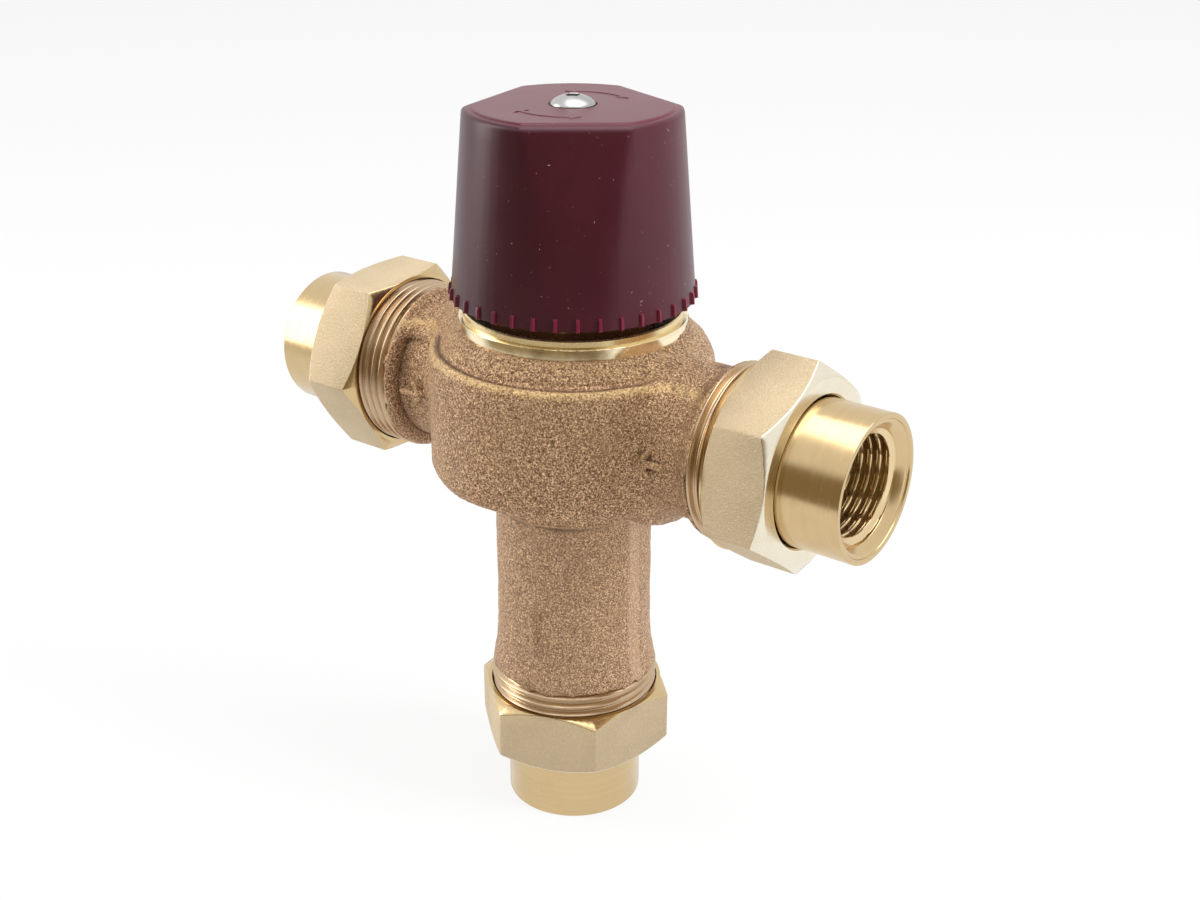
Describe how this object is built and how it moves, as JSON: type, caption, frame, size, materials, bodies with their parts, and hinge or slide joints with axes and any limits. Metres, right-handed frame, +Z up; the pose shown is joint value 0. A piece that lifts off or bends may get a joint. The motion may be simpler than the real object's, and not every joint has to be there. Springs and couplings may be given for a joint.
{
  "type": "tempering mixing valve",
  "caption": "Tee-shaped mixing valve: cast body, union ends with internal pipe threads, ribbed adjusting cap that turns a spindle over a wax-driven shuttle.",
  "frame": {"origin": "centre of the mixed outlet's end face, which the valve stands on", "axes": "+X along the port axis towards the hot inlet, +Z up the stem axis towards the adjusting cap, -Z out of the mixed outlet"},
  "size_m": [0.1298, 0.0546, 0.1444],
  "materials": {
    "blasted_brass": "blasted flats, turned corners",
    "bright_brass": "turned",
    "burgundy_plastic": "moulded, satin",
    "capsule_copper": "drawn, satin",
    "cast_bronze": "sand cast, tumbled",
    "cup_brass": "milled",
    "gasket_fibre": "flat, matt",
    "housing_plastic": "moulded, satin",
    "machined_brass": "turned, bright",
    "poppet_plastic": "moulded, satin",
    "screw_steel": "polished",
    "seal_rubber": "smooth",
    "seat_plastic": "moulded, matt",
    "shuttle_plastic": "moulded, matt",
    "stainless_mesh": "punched sheet",
    "stainless_small": "pressed",
    "stainless_spring": "drawn wire",
    "stem_brass": "turned"
  },
  "bodies": {
    "valve_body": {"body_casting": "cast_bronze", "bonnet": "machined_brass", "bonnet_o_ring": "seal_rubber", "lower_seat": "seat_plastic", "return_spring": "stainless_spring", "mixed_gasket": "gasket_fibre", "hot_gasket": "gasket_fibre", "hot_screen": "stainless_mesh", "hot_check_housing": "housing_plastic", "hot_check_o_ring": "seal_rubber", "hot_check_spring": "stainless_spring", "cold_gasket": "gasket_fibre", "cold_screen": "stainless_mesh", "cold_check_housing": "housing_plastic", "cold_check_o_ring": "seal_rubber", "cold_check_spring": "stainless_spring"},
    "adjuster": {"adjusting_cap": "burgundy_plastic", "cap_screw": "screw_steel", "spindle": "stem_brass", "spindle_o_ring": "seal_rubber", "spindle_clip": "stainless_small"},
    "cup": {"spring_cup": "cup_brass", "cup_clip": "stainless_small", "overload_spring": "stainless_spring"},
    "plunger": {"overload_plunger": "stem_brass", "element_piston": "stainless_small"},
    "thermostat": {"thermal_element": "capsule_copper", "shuttle": "shuttle_plastic", "shuttle_o_ring": "seal_rubber"},
    "hot_poppet": {"hot_check_poppet": "poppet_plastic", "hot_poppet_seal": "seal_rubber"},
    "cold_poppet": {"cold_check_poppet": "poppet_plastic", "cold_poppet_seal": "seal_rubber"},
    "hot_tail": {"hot_tailpiece": "bright_brass"},
    "hot_nut": {"hot_union_nut": "blasted_brass"},
    "cold_tail": {"cold_tailpiece": "bright_brass"},
    "cold_nut": {"cold_union_nut": "blasted_brass"},
    "mixed_tail": {"mixed_tailpiece": "bright_brass"},
    "mixed_nut": {"mixed_union_nut": "blasted_brass"}
  },
  "joints": [
    {"name": "cap_turn", "type": "hinge", "parent": "valve_body", "child": "adjuster", "pos_m": [0, 0, 0.14], "axis": [0, 0, 1], "range_deg": [-300, 300]},
    {"name": "cup_travel", "type": "slide", "parent": "valve_body", "child": "cup", "axis": [0, 0, -1], "range_m": [-0.00125, 0.00125], "deforming": ["return_spring"]},
    {"name": "overload", "type": "slide", "parent": "cup", "child": "plunger", "axis": [0, 0, 1], "range_m": [0, 0.0015], "stiffness_N_per_m": 12000, "springref_m": -0.003, "deforming": ["overload_spring", "return_spring"]},
    {"name": "wax_stroke", "type": "slide", "parent": "plunger", "child": "thermostat", "axis": [0, 0, -1], "range_m": [0, 0.002], "stiffness_N_per_m": 3000, "springref_m": -0.004, "deforming": ["return_spring"]},
    {"name": "hot_check_lift", "type": "slide", "parent": "valve_body", "child": "hot_poppet", "axis": [-1, 0, 0], "range_m": [0, 0.003], "stiffness_N_per_m": 300, "springref_m": -0.003, "deforming": ["hot_check_spring"]},
    {"name": "cold_check_lift", "type": "slide", "parent": "valve_body", "child": "cold_poppet", "axis": [1, 0, 0], "range_m": [0, 0.003], "stiffness_N_per_m": 300, "springref_m": -0.003, "deforming": ["cold_check_spring"]},
    {"name": "hot_union_draw", "type": "slide", "parent": "valve_body", "child": "hot_tail", "axis": [1, 0, 0], "range_m": [0, 0.00455]},
    {"name": "hot_nut_turn", "type": "hinge", "parent": "hot_tail", "child": "hot_nut", "pos_m": [0.0472, 0, 0.0852], "axis": [1, 0, 0], "range_deg": [0, 900]},
    {"name": "cold_union_draw", "type": "slide", "parent": "valve_body", "child": "cold_tail", "axis": [-1, 0, 0], "range_m": [0, 0.00455]},
    {"name": "cold_nut_turn", "type": "hinge", "parent": "cold_tail", "child": "cold_nut", "pos_m": [-0.0472, 0, 0.0852], "axis": [-1, 0, 0], "range_deg": [0, 900]},
    {"name": "mixed_union_draw", "type": "slide", "parent": "valve_body", "child": "mixed_tail", "axis": [0, 0, -1], "range_m": [0, 0.00455]},
    {"name": "mixed_nut_turn", "type": "hinge", "parent": "mixed_tail", "child": "mixed_nut", "pos_m": [0, 0, 0.0188], "axis": [0, 0, -1], "range_deg": [0, 900]}
  ],
  "couplings": [
    {"joint": "cup_travel", "follows": "cap_turn", "m_per_rad": 0.00023873},
    {"joint": "hot_union_draw", "follows": "hot_nut_turn", "m_per_rad": 0.00028875},
    {"joint": "cold_union_draw", "follows": "cold_nut_turn", "m_per_rad": 0.00028875},
    {"joint": "mixed_union_draw", "follows": "mixed_nut_turn", "m_per_rad": 0.00028875}
  ]
}
